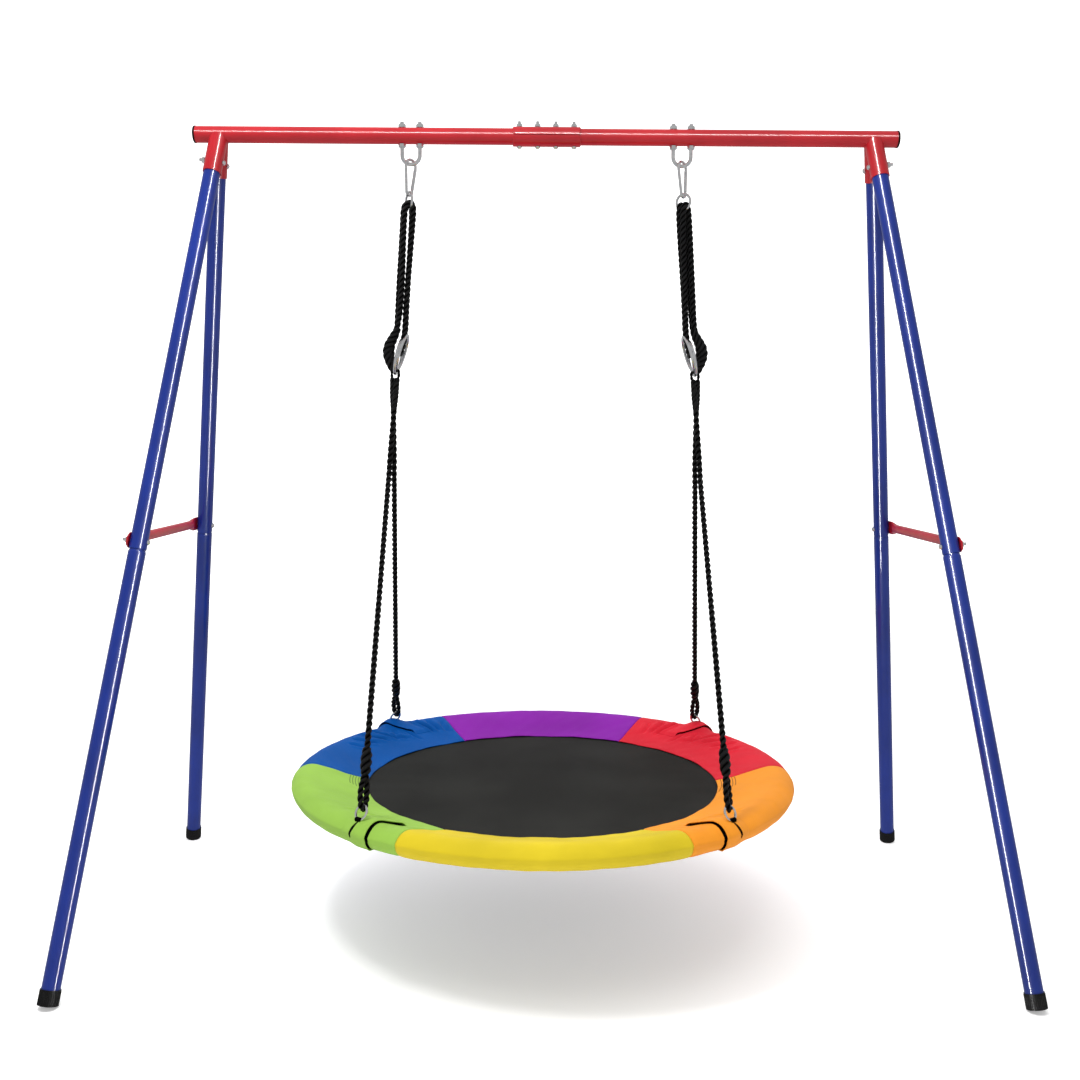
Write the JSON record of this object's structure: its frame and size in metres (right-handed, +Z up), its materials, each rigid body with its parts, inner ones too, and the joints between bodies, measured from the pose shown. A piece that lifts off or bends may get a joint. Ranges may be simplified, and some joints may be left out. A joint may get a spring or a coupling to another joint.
{
  "type": "saucer swing set",
  "caption": "Round rope-hung saucer swing with a padded rim, on a tubular A-frame stand with a top beam.",
  "frame": {"origin": "on the floor under the middle of the top beam", "axes": "+X along the beam, +Y from the front legs to the back legs, +Z up"},
  "size_m": [1.7404, 1.016, 1.6045],
  "materials": {
    "red_paint": "satin powder coat",
    "blue_paint": "satin powder coat",
    "zinc_steel": "bright zinc",
    "bare_steel": "plain",
    "black_plastic": "moulded",
    "black_rope": "braided polyester",
    "black_webbing": "woven webbing",
    "grey_foam": "closed-cell foam",
    "cover_fabric": "coated polyester",
    "mat_fabric": "coarse woven polyester"
  },
  "bodies": {
    "frame": {"beam_tube_left": "red_paint", "beam_end_cap_left": "black_plastic", "brace_left": "red_paint", "eye_bolt_left": "zinc_steel", "beam_tube_right": "red_paint", "beam_end_cap_right": "black_plastic", "brace_right": "red_paint", "eye_bolt_right": "zinc_steel", "leg_socket_front_left": "red_paint", "upper_leg_front_left": "blue_paint", "lower_leg_front_left": "blue_paint", "foot_cap_front_left": "black_plastic", "leg_socket_front_right": "red_paint", "upper_leg_front_right": "blue_paint", "lower_leg_front_right": "blue_paint", "foot_cap_front_right": "black_plastic", "leg_socket_back_left": "red_paint", "upper_leg_back_left": "blue_paint", "lower_leg_back_left": "blue_paint", "foot_cap_back_left": "black_plastic", "leg_socket_back_right": "red_paint", "upper_leg_back_right": "blue_paint", "lower_leg_back_right": "blue_paint", "foot_cap_back_right": "black_plastic", "splice_shell_top": "red_paint", "splice_shell_bottom": "red_paint", "splice_bolts": "zinc_steel", "splice_nuts": "zinc_steel", "socket_bolts": "zinc_steel", "socket_nuts": "zinc_steel", "brace_bolts": "zinc_steel", "brace_nuts": "zinc_steel", "eye_bolt_top_nuts": "zinc_steel", "eye_bolt_lock_nuts": "zinc_steel"},
    "gate_left": {"hook_gate_left": "zinc_steel", "hook_gate_pins_left": "zinc_steel"},
    "hanger_left": {"snap_hook_left": "zinc_steel", "round_link_left": "zinc_steel", "adjuster_rings_left": "zinc_steel", "upper_rope_left_front": "black_rope", "upper_rope_left_back": "black_rope"},
    "gate_right": {"hook_gate_right": "zinc_steel", "hook_gate_pins_right": "zinc_steel"},
    "hanger_right": {"snap_hook_right": "zinc_steel", "round_link_right": "zinc_steel", "adjuster_rings_right": "zinc_steel", "upper_rope_right_front": "black_rope", "upper_rope_right_back": "black_rope"},
    "seat": {"lower_rope_front_left": "black_rope", "lower_rope_front_right": "black_rope", "lower_rope_back_left": "black_rope", "lower_rope_back_right": "black_rope", "rim_steel_tubes": "bare_steel", "rim_foam_sleeve": "grey_foam", "rim_cover": "cover_fabric", "seat_mat": "mat_fabric", "rim_straps": "black_webbing", "strap_rings": "zinc_steel"}
  },
  "joints": [
    {"name": "hanger_swing_left", "type": "hinge", "parent": "frame", "child": "hanger_left", "pos_m": [-0.268, 0, 1.52], "axis": [1, 0, 0], "range_deg": [-40, 40]},
    {"name": "hook_gate_left", "type": "hinge", "parent": "hanger_left", "child": "gate_left", "pos_m": [-0.26657, 0.00575, 1.47311], "axis": [0.7646, -0.6428, -0.0466], "range_deg": [0, 23], "stiffness_Nm_per_rad": 0.02, "springref_deg": -17.19},
    {"name": "hanger_swing_right", "type": "hinge", "parent": "frame", "child": "hanger_right", "pos_m": [0.268, 0, 1.52], "axis": [1, 0, 0], "range_deg": [-40, 40]},
    {"name": "hook_gate_right", "type": "hinge", "parent": "hanger_right", "child": "gate_right", "pos_m": [0.27619, 0.00575, 1.4737], "axis": [0.7646, -0.6428, 0.0466], "range_deg": [0, 23], "stiffness_Nm_per_rad": 0.02, "springref_deg": -17.19},
    {"name": "seat_swing", "type": "hinge", "parent": "hanger_left", "child": "seat", "pos_m": [-0.29313, 0, 1.108], "axis": [1, 0, 0], "range_deg": [-15, 15]}
  ],
  "couplings": [
    {"joint": "hanger_swing_right", "follows": "hanger_swing_left", "ratio": 1}
  ]
}
